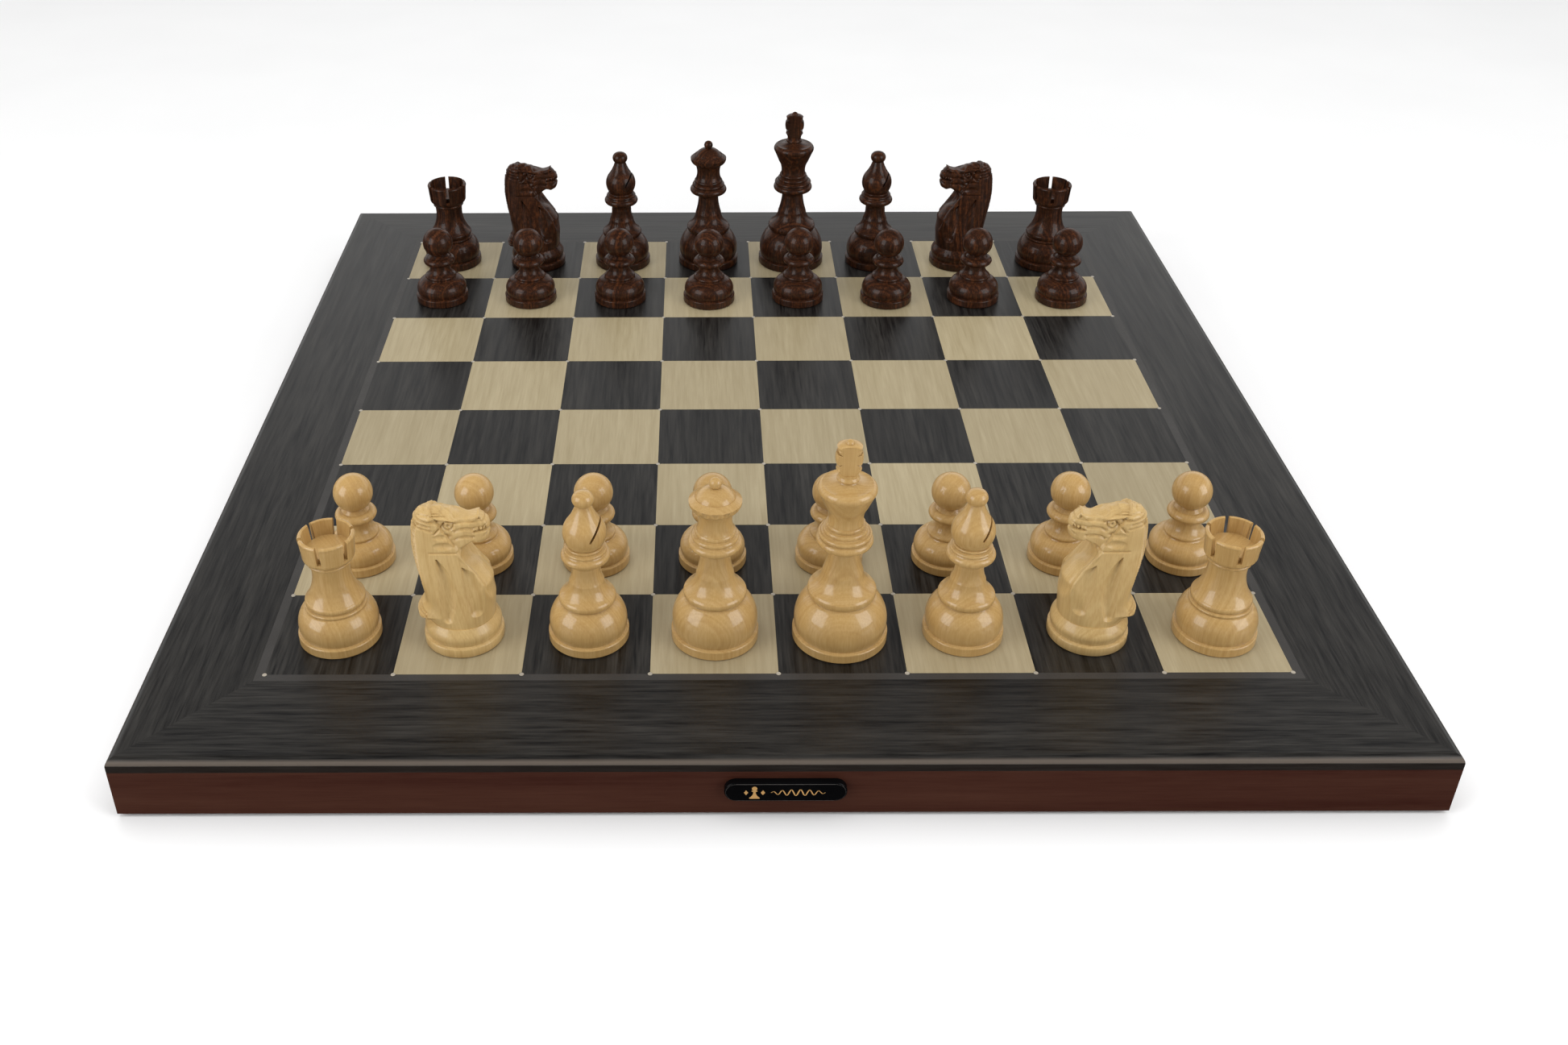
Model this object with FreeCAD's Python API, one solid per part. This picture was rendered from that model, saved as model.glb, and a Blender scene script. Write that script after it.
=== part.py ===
import FreeCAD, Part
import math
import os

# Electronic chess computer: a wooden sensor board with a light at every square corner, and its 32 men.
# Units are millimetres. +X runs from the a-file to the h-file, +Y from White to Black, +Z is up.
# The origin is the middle of the plane that the feet stand on.

V = FreeCAD.Vector
UP = V(0, 0, 1)

# ---- playing field ----
SQUARE = 55.0
COUNT = 8
FIELD_HALF = SQUARE * COUNT / 2
LINE_WIDTH = 4.0
LINE_HALF = FIELD_HALF + LINE_WIDTH
BOARD_HALF = 272.0

# ---- heights above the table ----
FOOT_HEIGHT = 2.0
COVER_TOP = FOOT_HEIGHT + 4.0
BOARD_TOP = FOOT_HEIGHT + 29.0
SLAB = 6.4
RAIL_TOP = BOARD_TOP - SLAB
VENEER = 1.0
VENEER_BOTTOM = BOARD_TOP - VENEER
LIP = 3.0
LIP_REACH = 8.0
EDGE_ROUND = 3.5

# ---- case ----
RAIL_THICK = 24.0
RAIL_INNER = BOARD_HALF - RAIL_THICK
SHOULDER = 10.0
COVER_HALF = RAIL_INNER + SHOULDER
COVER_GAP = 0.2
SCREW_R = 1.5
SCREW_HEAD_R = 3.0
SCREW_LENGTH = 12.0
PILOT_GAP = 0.05
SCREW_LINE = RAIL_INNER + SHOULDER / 2
SCREW_STEPS = (-1.0, -1 / 3, 1 / 3, 1.0)
SCREW_REACH = 225.0
FOOT_R = 9.0
FOOT_PLACE = 225.0

# ---- lights and sensors ----
LENS_R = 1.0
LENS_HOLE_R = 1.1
LED_SIZE = 1.2
LED_HEIGHT = 1.0
PCB_THICK = 1.6
PCB_HALF = 226.0
COIL_R = 22.0
COIL_WIDTH = 4.0
COIL_THICK = 0.2
BATTEN_WIDTH = 16.0
BATTEN_PLACES = (-165.0, -82.5, 82.5, 165.0)
BATTEN_LENGTH = 400.0

# ---- electronics at the back ----
BAY_X = -110.0
WINDOW_WIDTH = 50.0
WINDOW_TOP = 19.5
PANEL_WIDTH = 58.0
PANEL_THICK = 2.0
PANEL_BOTTOM = 4.0
PANEL_TOP = 21.5
PORT_GAP = 0.15
MAIN_BOARD_BOTTOM = COVER_TOP + 2.0
MAIN_BOARD_TOP = MAIN_BOARD_BOTTOM + PCB_THICK
MAIN_BOARD_FRONT = 206.0
MAIN_BOARD_BACK = 268.4
MAIN_BOARD_WIDTH = 46.0
USB_X = BAY_X - 11.0
USB_WIDTH = 8.94
USB_HEIGHT = 3.26
USB_DEPTH = 7.4
USB_WALL = 0.3
USB_Z = MAIN_BOARD_TOP + USB_HEIGHT / 2
BUTTON_X = BAY_X + 11.0
BUTTON_Z = 14.0
BUTTON_R = 3.0
BUTTON_PROUD = 1.5
BUTTON_TRAVEL = 1.0
PLUNGER_BACK = BOARD_HALF - 6.5
RIBBON_WIDTH = 20.0
RIBBON_THICK = 0.3
RIBBON_RUN = 14.0

# ---- badge on the front ----
BADGE_X = 0.7
BADGE_Z = 16.0
BADGE_LENGTH = 49.6
BADGE_HEIGHT = 10.0
BADGE_PROUD = 3.0
BADGE_ROUND = 0.8

# ---- what every man holds in its base ----
FELT_RECESS = 1.0
FELT_RIM = 1.6
BORE_R = 8.0
TAG_BOTTOM = 1.6
TAG_THICK = 1.4
TAG_INNER_R = 5.0
WEIGHT_TOP = 11.0
BORE_GAP = 0.1

# ---- carving ----
CRENEL_COUNT = 6
CRENEL_WIDTH = 2.0
CRENEL_FLOOR = 45.2
CUP_FLOOR_R = 9.2
CORONET_COUNT = 16
CROSS_HALF_THICK = 3.3

# ---- where the men stand ----
ROOK_TURNS = {"white_rook_a": -8, "white_rook_h": 0, "black_rook_a": 8, "black_rook_h": -7}
# A hand puts some men down a little off the middle of their square: (x, y).
STRAYS = {
    "white_pawn_a": (-1.0, 0.5), "white_pawn_h": (1.0, 0.0), "white_rook_h": (1.0, -0.5),
    "white_bishop_c": (0.0, -0.5), "white_queen": (0.5, -0.5), "white_king": (0.5, -1.0),
    "black_pawn_a": (-1.5, 0.0), "black_pawn_b": (-1.0, -1.0), "black_pawn_c": (0.0, -1.0),
    "black_pawn_d": (0.5, -3.0), "black_pawn_e": (1.0, -1.0), "black_pawn_f": (1.0, -3.0),
    "black_pawn_g": (0.5, -2.0), "black_pawn_h": (0.5, -3.0),
    "black_rook_a": (-2.0, -1.0), "black_knight_b": (-1.0, -3.0), "black_bishop_c": (-0.5, -2.5),
    "black_queen": (0.5, -1.0), "black_king": (-0.5, -1.0), "black_bishop_f": (-2.0, -2.5),
    "black_knight_g": (-2.0, -3.5), "black_rook_h": (0.0, -4.0),
}

PARTS = "parts"


# ---------------------------------------------------------------- small helpers

def save(name, *solids):
    """Write one node: a single solid, or a group of separate ones."""
    shape = solids[0] if len(solids) == 1 else Part.makeCompound(list(solids))
    shape.exportStep(os.path.join(PARTS, name + ".step"))


def block(low, high):
    """An upright box between two corners."""
    return Part.makeBox(high[0] - low[0], high[1] - low[1], high[2] - low[2], V(*low))


def disc(radius, low, high, x=0.0, y=0.0):
    return Part.makeCylinder(radius, high - low, V(x, y, low))


def outline(steps, place):
    """A closed wire. A step is a point, or a pair: a point on the arc and the arc's end."""
    first = place(*steps[0])
    here = first
    edges = []
    for step in steps[1:]:
        if isinstance(step[0], tuple):
            there = place(*step[1])
            edges.append(Part.Arc(here, place(*step[0]), there).toShape())
        else:
            there = place(*step)
            edges.append(Part.LineSegment(here, there).toShape())
        here = there
    if here.distanceToPoint(first) > 1e-6:
        edges.append(Part.LineSegment(here, first).toShape())
    return Part.Wire(edges)


def dome(radius, height, top):
    """The arc from (radius, height) up to the axis at the top, on a sphere centred on the axis."""
    centre = (top ** 2 - height ** 2 - radius ** 2) / (2 * (top - height))
    start = math.atan2(height - centre, radius)
    middle = (start + math.pi / 2) / 2
    sphere_r = top - centre
    return ((sphere_r * math.cos(middle), centre + sphere_r * math.sin(middle)), (0, top))


def turned(steps):
    """A solid of revolution about Z from an outline of (radius, height)."""
    wire = outline(steps, lambda r, z: V(r, 0, z))
    return Part.Face(wire).revolve(V(0, 0, 0), UP, 360)


def slab(steps, axis, low, high):
    """An outline pushed along an axis: of (x, z) along Y, of (y, z) along X, or of (x, y) along Z."""
    place = {"X": lambda a, b: V(low, a, b), "Y": lambda a, b: V(a, low, b), "Z": lambda a, b: V(a, b, low)}
    push = {"X": V(high - low, 0, 0), "Y": V(0, high - low, 0), "Z": V(0, 0, high - low)}
    return Part.Face(outline(steps, place[axis])).extrude(push[axis])


def turn(shape, degrees):
    copy = shape.copy()
    copy.rotate(V(0, 0, 0), UP, degrees)
    return copy


def at(shape, x, y, z=0.0):
    copy = shape.copy()
    copy.translate(V(x, y, z))
    return copy


# ---------------------------------------------------------------- case and playing field

def mitred(section):
    """The front member of a frame: an outline of (distance from the middle, height), cut at 45 degrees."""
    bar = slab(section, "X", -BOARD_HALF, BOARD_HALF)
    bar = bar.mirror(V(0, 0, 0), V(0, 1, 0))
    far = BOARD_HALF + 1.0
    wedge = slab([(0, 0), (far, -far), (-far, -far)], "Z", -1.0, BOARD_TOP + 1.0)
    return bar.common(wedge).Solids[0]


def border_section():
    """The wide dark top border, with a lip over the field's core and a rounded outer edge."""
    slant = EDGE_ROUND * (1 - math.sqrt(0.5))
    return [
        (LINE_HALF, BOARD_TOP),
        (LINE_HALF, BOARD_TOP - LIP),
        (LINE_HALF + LIP_REACH, BOARD_TOP - LIP),
        (LINE_HALF + LIP_REACH, RAIL_TOP),
        (BOARD_HALF, RAIL_TOP),
        (BOARD_HALF, BOARD_TOP - EDGE_ROUND),
        ((BOARD_HALF - slant, BOARD_TOP - slant), (BOARD_HALF - EDGE_ROUND, BOARD_TOP)),
    ]


def rail_section():
    """The side of the case, with a shoulder that the bottom cover screws to."""
    return [
        (BOARD_HALF, FOOT_HEIGHT),
        (BOARD_HALF, RAIL_TOP),
        (RAIL_INNER, RAIL_TOP),
        (RAIL_INNER, COVER_TOP),
        (COVER_HALF, COVER_TOP),
        (COVER_HALF, FOOT_HEIGHT),
    ]


def front_screw_places():
    """Four screws along the front, at the middle of the shoulder."""
    return [(step * SCREW_REACH, -SCREW_LINE) for step in SCREW_STEPS]


def screw_places():
    """The front's screws, and the same on the other three sides."""
    places = []
    for x, y in front_screw_places():
        places += [(x, y), (-y, x), (-x, -y), (y, -x)]
    return places


def front_rail():
    """The plain front rail, with a pilot hole for each of its screws."""
    top = FOOT_HEIGHT + SCREW_LENGTH + 0.5
    pilots = [disc(SCREW_R + PILOT_GAP, COVER_TOP - 1, top, x, y) for x, y in front_screw_places()]
    return mitred(rail_section()).cut(Part.makeCompound(pilots)).Solids[0]


def corner_places():
    """The corners of all the squares, where the lights are."""
    steps = [i * SQUARE - FIELD_HALF for i in range(COUNT + 1)]
    return [(x, y) for x in steps for y in steps]


def square_centres():
    steps = [(i + 0.5) * SQUARE - FIELD_HALF for i in range(COUNT)]
    return [(column, row, x, y) for column, x in enumerate(steps) for row, y in enumerate(steps)]


def drilled(shape, radius, low, high):
    """A shape with a hole at each light."""
    holes = [disc(radius, low, high, x, y) for x, y in corner_places()]
    return shape.cut(Part.makeCompound(holes))


def field_square():
    """One square of veneer, with a quarter of a light's hole at each corner."""
    half = SQUARE / 2
    tight = LENS_HOLE_R * math.sqrt(0.5)
    steps = [(half, half - LENS_HOLE_R)]
    for quarter in range(4):
        turn_by = math.radians(90 * quarter)
        cosine, sine = math.cos(turn_by), math.sin(turn_by)
        arc = [(half - tight, half - tight), (half - LENS_HOLE_R, half)]
        steps.append(tuple((x * cosine - y * sine, x * sine + y * cosine) for x, y in arc))
        if quarter < 3:
            x, y = -half + LENS_HOLE_R, half
            steps.append((x * cosine - y * sine, x * sine + y * cosine))
    return slab(steps, "Z", VENEER_BOTTOM, BOARD_TOP)


def inlay_line():
    """The thin plain line round the field, in four mitred strips."""
    strip = mitred([
        (FIELD_HALF, VENEER_BOTTOM),
        (LINE_HALF, VENEER_BOTTOM),
        (LINE_HALF, BOARD_TOP),
        (FIELD_HALF, BOARD_TOP),
    ])
    strip = drilled(strip, LENS_HOLE_R, VENEER_BOTTOM - 1, BOARD_TOP + 1).Solids[0]
    return [turn(strip, 90 * side) for side in range(4)]


def field_core():
    """The panel under the veneers, rebated under the border's lip and drilled for the lights."""
    tongue = LINE_HALF + LIP_REACH
    upper = block((-LINE_HALF, -LINE_HALF, RAIL_TOP), (LINE_HALF, LINE_HALF, VENEER_BOTTOM))
    lower = block((-tongue, -tongue, RAIL_TOP), (tongue, tongue, BOARD_TOP - LIP))
    return drilled(upper.fuse(lower).removeSplitter(), LENS_HOLE_R, RAIL_TOP - 1, BOARD_TOP).Solids[0]


def rubber_foot():
    """A round foot, a little narrower where it meets the table."""
    return Part.makeCone(FOOT_R - 0.8, FOOT_R, FOOT_HEIGHT)


def bottom_cover():
    """The plate under the case, with pads for the main board and countersunk screw holes."""
    half = COVER_HALF - COVER_GAP
    plate = block((-half, -half, FOOT_HEIGHT), (half, half, COVER_TOP))
    pads = []
    for side in (-1, 1):
        for y in (MAIN_BOARD_FRONT + 5, RAIL_INNER - 5):
            pads.append(disc(3.0, COVER_TOP, MAIN_BOARD_BOTTOM, BAY_X + side * (MAIN_BOARD_WIDTH / 2 - 5), y))
    holes = [at(screw(SCREW_R + 0.2, SCREW_HEAD_R + 0.2), x, y) for x, y in screw_places()]
    return plate.fuse(pads).cut(Part.makeCompound(holes)).Solids[0]


def screw(shank_r, head_r):
    """A countersunk screw, driven up through the cover."""
    cone = head_r - shank_r
    return turned([
        (0, FOOT_HEIGHT),
        (head_r, FOOT_HEIGHT),
        (shank_r, FOOT_HEIGHT + cone),
        (shank_r, FOOT_HEIGHT + SCREW_LENGTH - 2.0),
        (0, FOOT_HEIGHT + SCREW_LENGTH),
    ])


def name_badge():
    """A pill-shaped plate that stands proud of the front rail."""
    radius = BADGE_HEIGHT / 2
    reach = BADGE_LENGTH / 2 - radius
    plate = slab([
        (BADGE_X - reach, BADGE_Z - radius),
        (BADGE_X + reach, BADGE_Z - radius),
        ((BADGE_X + reach + radius, BADGE_Z), (BADGE_X + reach, BADGE_Z + radius)),
        (BADGE_X - reach, BADGE_Z + radius),
        ((BADGE_X - reach - radius, BADGE_Z), (BADGE_X - reach, BADGE_Z - radius)),
    ], "Y", -BOARD_HALF - BADGE_PROUD, -BOARD_HALF)
    front = [edge for edge in plate.Edges if edge.BoundBox.YMax < -BOARD_HALF - BADGE_PROUD + 0.01]
    return plate.makeFillet(BADGE_ROUND, front).Solids[0]


# ---------------------------------------------------------------- electronics

def sensor_coil():
    """One flat ring of track under a square."""
    top = RAIL_TOP - PCB_THICK
    ring = disc(COIL_R, top - COIL_THICK, top)
    return ring.cut(disc(COIL_R - COIL_WIDTH, top - COIL_THICK - 1, top + 1))


def support_battens():
    """Strips that hold the sensor board up against the core."""
    top = RAIL_TOP - PCB_THICK - COIL_THICK
    half = BATTEN_WIDTH / 2
    reach = BATTEN_LENGTH / 2
    return [block((x - half, -reach, COVER_TOP), (x + half, reach, top)) for x in BATTEN_PLACES]


def back_rail(plain):
    """The rear rail, with a window to the electronics and a recess for the socket panel."""
    window = block(
        (BAY_X - WINDOW_WIDTH / 2, RAIL_INNER - 1, COVER_TOP),
        (BAY_X + WINDOW_WIDTH / 2, BOARD_HALF + 1, WINDOW_TOP),
    )
    recess = block(
        (BAY_X - PANEL_WIDTH / 2, BOARD_HALF - PANEL_THICK, PANEL_BOTTOM),
        (BAY_X + PANEL_WIDTH / 2, BOARD_HALF + 1, PANEL_TOP),
    )
    return plain.cut(window.fuse(recess)).Solids[0]


def rounded_port(width, height, low, high):
    """A straight-sided slot with round ends, along Y through the socket panel."""
    radius = height / 2
    reach = width / 2 - radius
    return slab([
        (USB_X - reach, USB_Z - radius),
        (USB_X + reach, USB_Z - radius),
        ((USB_X + reach + radius, USB_Z), (USB_X + reach, USB_Z + radius)),
        (USB_X - reach, USB_Z + radius),
        ((USB_X - reach - radius, USB_Z), (USB_X - reach, USB_Z - radius)),
    ], "Y", low, high)


def socket_panel():
    """The plate in the rear rail, with the openings for the socket and the button."""
    plate = block(
        (BAY_X - PANEL_WIDTH / 2, BOARD_HALF - PANEL_THICK, PANEL_BOTTOM),
        (BAY_X + PANEL_WIDTH / 2, BOARD_HALF, PANEL_TOP),
    )
    slot = rounded_port(USB_WIDTH + 2 * PORT_GAP, USB_HEIGHT + 2 * PORT_GAP, BOARD_HALF - 5, BOARD_HALF + 1)
    hole = Part.makeCylinder(BUTTON_R + 0.2, 6, V(BUTTON_X, BOARD_HALF - 5, BUTTON_Z), V(0, 1, 0))
    return plate.cut(slot).cut(hole).Solids[0]


def usb_socket():
    """A reversible socket: a thin shell, open towards the back, with its tongue."""
    back = BOARD_HALF - 0.3
    front = back - USB_DEPTH
    shell = rounded_port(USB_WIDTH, USB_HEIGHT, front, back)
    hollow = rounded_port(USB_WIDTH - 2 * USB_WALL, USB_HEIGHT - 2 * USB_WALL, front + 1.0, back + 1.0)
    tongue = block((USB_X - 3.3, front + 0.5, USB_Z - 0.35), (USB_X + 3.3, back - 1.0, USB_Z + 0.35))
    return shell.cut(hollow).fuse(tongue).Solids[0]


def power_button():
    """The cap, the flange that keeps it behind the panel, and the plunger in the switch."""
    inside = BOARD_HALF - PANEL_THICK
    button = turned([
        (0, PLUNGER_BACK),
        (1.5, PLUNGER_BACK),
        (1.5, inside - 1.6),
        (BUTTON_R + 1.0, inside - 1.6),
        (BUTTON_R + 1.0, inside - 0.1),
        (BUTTON_R, inside - 0.1),
        (BUTTON_R, BOARD_HALF + BUTTON_PROUD - 0.5),
        ((BUTTON_R - 0.15, BOARD_HALF + BUTTON_PROUD - 0.15), (BUTTON_R - 0.5, BOARD_HALF + BUTTON_PROUD)),
        (0, BOARD_HALF + BUTTON_PROUD),
    ])
    button.rotate(V(0, 0, 0), V(1, 0, 0), -90)
    return at(button, BUTTON_X, 0, BUTTON_Z)


def power_switch():
    """The switch body on the main board, bored for the plunger."""
    front = PLUNGER_BACK - BUTTON_TRAVEL - 0.3
    body = block((BUTTON_X - 3.5, front - 2.0, MAIN_BOARD_TOP), (BUTTON_X + 3.5, front + 3.0, BUTTON_Z + 3.5))
    bore = Part.makeCylinder(1.7, 4.0, V(BUTTON_X, front, BUTTON_Z), V(0, 1, 0))
    return body.cut(bore).Solids[0]


def board_chips():
    """The processor and the other parts soldered to the main board."""
    left = BAY_X - MAIN_BOARD_WIDTH / 2
    sizes = [
        (6.0, 30.0, 12.0, 12.0, 1.4),
        (24.0, 32.0, 10.0, 6.0, 1.2),
        (24.0, 42.0, 8.0, 5.0, 1.2),
        (37.0, 30.0, 5.0, 9.0, 3.0),
        (8.0, 46.0, 6.0, 4.0, 1.6),
    ]
    chips = []
    for x, y, width, depth, height in sizes:
        low = (left + x, MAIN_BOARD_FRONT + y, MAIN_BOARD_TOP)
        high = (left + x + width, MAIN_BOARD_FRONT + y + depth, MAIN_BOARD_TOP + height)
        chips.append(block(low, high))
    return chips


def ribbon_cable():
    """The flat cable, bent once from under the sensor board to the top of the main board."""
    high = RAIL_TOP - PCB_THICK
    low = MAIN_BOARD_TOP
    outer = (high - low) / 2
    inner = outer - RIBBON_THICK
    middle = (high + low) / 2
    bend = MAIN_BOARD_FRONT + 2.0
    end = bend + RIBBON_RUN
    strip = slab([
        (end, high),
        (bend, high),
        ((bend - outer, middle), (bend, low)),
        (end, low),
        (end, low + RIBBON_THICK),
        (bend, low + RIBBON_THICK),
        ((bend - inner, middle), (bend, high - RIBBON_THICK)),
        (end, high - RIBBON_THICK),
    ], "X", BAY_X - RIBBON_WIDTH / 2, BAY_X + RIBBON_WIDTH / 2)
    return strip


# ---------------------------------------------------------------- chessmen
# Each is turned about Z, with its foot at z = 0. Outlines are (radius, height).

def base(foot_r, bulge, top):
    """The foot disc, its groove and the round bulge above it, up to where the top begins."""
    return [
        (foot_r - FELT_RIM, 0),
        (foot_r - 0.6, 0),
        (foot_r, 0.7),
        (foot_r, 3.9),
        ((foot_r - 0.2, 4.6), (foot_r - 0.8, 4.9)),
        (foot_r - 1.3, 5.2),
        (bulge, top),
    ]


def pawn_outline():
    return base(15.9, (15.1, 9.4), (9.6, 14.8)) + [
        (9.2, 15.3),
        ((9.5, 16.2), (8.9, 17.2)),
        ((6.7, 19.6), (6.0, 23.2)),
        (6.6, 24.2),
        ((8.9, 24.9), (9.6, 26.4)),
        ((8.7, 28.2), (6.4, 28.9)),
        (4.9, 30.4),
        dome(4.9, 30.4, 47.1),
    ]


def rook_outline():
    """The cup in the head is part of the outline: its rim, its wall and its flat floor."""
    return base(18.1, (17.3, 11.0), (13.9, 17.4)) + [
        (13.2, 17.8),
        ((13.6, 18.6), (13.1, 19.3)),
        (12.5, 19.6),
        ((13.1, 21.0), (12.4, 22.5)),
        ((9.4, 28.5), (8.3, 37.5)),
        (8.5, 40.0),
        ((9.5, 40.6), (9.2, 41.5)),
        (9.6, 42.2),
        ((10.9, 43.2), (11.3, 44.8)),
        (12.0, 52.8),
        ((11.9, 54.2), (11.2, 54.6)),
        (10.5, 54.2),
        (9.4, 47.4),
        (0, 47.4),
    ]


def bishop_outline():
    return base(17.7, (16.9, 11.2), (12.4, 19.2)) + [
        (11.7, 19.8),
        ((12.4, 20.9), (12.3, 22.6)),
        (11.8, 23.3),
        ((9.1, 26.2), (7.6, 30.6)),
        ((6.5, 34.0), (6.2, 37.6)),
        ((6.6, 40.2), (8.4, 41.6)),
        ((10.6, 43.7), (9.2, 45.7)),
        (8.9, 46.2),
        ((9.3, 47.0), (8.5, 47.8)),
        (7.8, 48.1),
        ((8.2, 48.8), (7.4, 49.4)),
        ((9.4, 55.0), (7.6, 61.0)),
        ((4.9, 65.4), (3.4, 69.3)),
        ((4.7, 72.3), (3.3, 74.9)),
        dome(3.3, 74.9, 75.8),
    ]


def queen_outline():
    return base(19.2, (18.6, 12.0), (13.9, 21.6)) + [
        (13.0, 22.3),
        ((13.7, 23.6), (13.6, 25.2)),
        (13.0, 26.0),
        ((9.9, 29.2), (8.2, 34.4)),
        ((7.0, 39.0), (6.3, 44.6)),
        ((6.9, 47.0), (9.2, 48.2)),
        ((11.6, 50.3), (10.2, 52.3)),
        (9.8, 52.7),
        ((10.2, 53.7), (9.2, 54.9)),
        (8.7, 55.2),
        ((8.9, 56.3), (8.2, 57.3)),
        ((7.2, 61.6), (8.1, 66.6)),
        (9.0, 67.6),
        ((10.9, 69.4), (11.3, 71.5)),
        (8.9, 73.6),
        (8.4, 73.4),
        ((5.4, 76.5), (1.9, 77.9)),
        dome(1.9, 77.9, 82.6),
    ]


def king_outline():
    """The king up to the foot of its cross."""
    return base(20.9, (20.2, 12.4), (15.2, 22.4)) + [
        (14.2, 23.2),
        ((14.9, 24.7), (14.8, 26.5)),
        (14.2, 27.3),
        ((10.6, 30.8), (8.8, 35.8)),
        ((7.3, 41.4), (6.6, 47.0)),
        ((7.3, 48.9), (9.6, 49.9)),
        ((12.2, 52.0), (10.8, 54.0)),
        (10.7, 54.3),
        ((11.5, 55.2), (10.2, 56.4)),
        (9.4, 56.9),
        ((9.6, 58.0), (8.6, 58.9)),
        (8.1, 59.2),
        ((8.5, 60.2), (7.7, 61.2)),
        ((7.6, 65.2), (9.2, 69.4)),
        (12.0, 76.0),
        ((12.4, 78.6), (10.8, 80.2)),
        ((8.2, 80.2), (4.6, 81.6)),
        (4.3, 82.0),
        ((4.9, 82.8), (4.6, 83.6)),
        (4.2, 84.2),
        (4.2, 85.4),
        (0, 85.4),
    ]


def cross():
    """The king's cross: turned, sliced flat front and back, and notched between its four arms."""
    turned_cross = turned([
        (0, 84.6),
        (4.1, 84.6),
        ((4.6, 86.4), (5.4, 87.7)),
        (4.9, 89.0),
        ((5.9, 93.2), (4.9, 97.3)),
        (5.3, 98.4),
        ((3.6, 99.4), (1.9, 99.6)),
        dome(1.9, 99.6, 101.4),
    ])
    flat = block((-8, -CROSS_HALF_THICK, 84.0), (8, CROSS_HALF_THICK, 102.0))
    shaped = turned_cross.common(flat)
    for side in (-1, 1):
        for edge, inner in ((97.1, 95.2), (89.2, 91.0)):
            notch = slab([(side * 7, edge - 1.2), (side * 7, edge + 1.2), (side * 2.9, inner)], "Y", -9, 9)
            shaped = shaped.cut(notch)
    return shaped.Solids[0]


def knight_body():
    """The horse: its side outline, narrowed from the base to the ears."""
    side = slab([
        (-14.5, 12.0),
        ((-17.2, 13.8), (-18.0, 17.2)),
        ((-17.3, 21.6), (-14.6, 24.4)),
        ((-14.9, 34.0), (-17.4, 44.0)),
        ((-18.7, 53.0), (-18.0, 60.0)),
        ((-16.9, 65.6), (-13.0, 68.8)),
        ((-8.6, 71.2), (-4.6, 71.2)),
        (-3.0, 69.8),
        (1.6, 67.2),
        ((5.0, 65.4), (8.0, 66.6)),
        (10.6, 67.8),
        (15.4, 63.8),
        (16.7, 56.0),
        ((15.2, 51.8), (12.0, 49.9)),
        (8.6, 48.6),
        (6.7, 46.9),
        ((10.9, 40.4), (15.0, 34.4)),
        ((16.7, 27.6), (14.6, 12.0)),
    ], "Y", -18.0, 18.0)
    front = slab([
        (-14.0, 12.0),
        ((-11.6, 26.0), (-8.8, 46.0)),
        (-7.6, 62.0),
        (-5.0, 73.0),
        (5.0, 73.0),
        (7.6, 62.0),
        ((8.8, 46.0), (8.8, 45.9)),
        ((11.6, 26.0), (14.0, 12.0)),
    ], "X", -20.0, 20.0)
    return side.common(front)


def hollowed(man):
    """A man with the recess for its felt and the bore for its weight and tag."""
    return man.cut(disc(BORE_R, -1, WEIGHT_TOP)).Solids[0]


def insides():
    """What the bore holds: the weight, and the tag ring that the board senses."""
    weight = disc(BORE_R - BORE_GAP, TAG_BOTTOM + TAG_THICK, WEIGHT_TOP)
    tag = disc(BORE_R - BORE_GAP, TAG_BOTTOM, TAG_BOTTOM + TAG_THICK)
    return [weight, tag.cut(disc(TAG_INNER_R, 0, WEIGHT_TOP))]


def man_from(steps):
    """Turn an outline whose foot has the felt recess."""
    inner = steps[0][0]
    return turned([(0, FELT_RECESS), (inner, FELT_RECESS)] + steps)


def pawn():
    return man_from(pawn_outline())


def rook():
    """The slots between its battlements go a little lower outside than the floor of its cup."""
    man = man_from(rook_outline())
    floor = disc(CUP_FLOOR_R, 0, 60)
    for step in range(CRENEL_COUNT // 2):
        slot = block((-20, -CRENEL_WIDTH / 2, CRENEL_FLOOR), (20, CRENEL_WIDTH / 2, 60))
        man = man.cut(turn(slot.cut(floor), 30 + 360 * step / CRENEL_COUNT))
    return man.Solids[0]


def bishop():
    """The slanting cut in the mitre is on the +X side."""
    cut = block((2.5, -12, -0.5), (14, 12, 0.5))
    cut.rotate(V(0, 0, 0), V(0, 1, 0), -58)
    return man_from(bishop_outline()).cut(at(cut, 1.5, 0, 53.0)).Solids[0]


def queen():
    """Shallow flutes are cut round the coronet's lower face."""
    man = man_from(queen_outline())
    flute = Part.makeCylinder(2.4, 6.9, V(12.6, 0, 64.4), V(0.05, 0, 1))
    flutes = [turn(flute, 360 * step / CORONET_COUNT) for step in range(CORONET_COUNT)]
    return man.cut(Part.makeCompound(flutes)).Solids[0]


def king():
    return man_from(king_outline()).fuse(cross()).removeSplitter().Solids[0]


def knight():
    stand = man_from(base(17.5, (16.7, 9.0), (14.6, 13.2)) + [(0, 13.2)])
    return stand.fuse(knight_body()).removeSplitter().Solids[0]


# ---------------------------------------------------------------- build

def build_case():
    border = mitred(border_section())
    rail = front_rail()
    for side, name in enumerate(("front", "right", "back", "left")):
        member = turn(rail, 90 * side)
        save("border_" + name, turn(border, 90 * side))
        save("rail_" + name, back_rail(member) if name == "back" else member)
    save("field_core", field_core())
    save("bottom_cover", bottom_cover())
    save("cover_screws", *[at(screw(SCREW_R, SCREW_HEAD_R), x, y) for x, y in screw_places()])
    corners = [(x, y) for x in (-FOOT_PLACE, FOOT_PLACE) for y in (-FOOT_PLACE, FOOT_PLACE)]
    save("rubber_feet", *[at(rubber_foot(), x, y) for x, y in corners])
    save("name_badge", name_badge())


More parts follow.
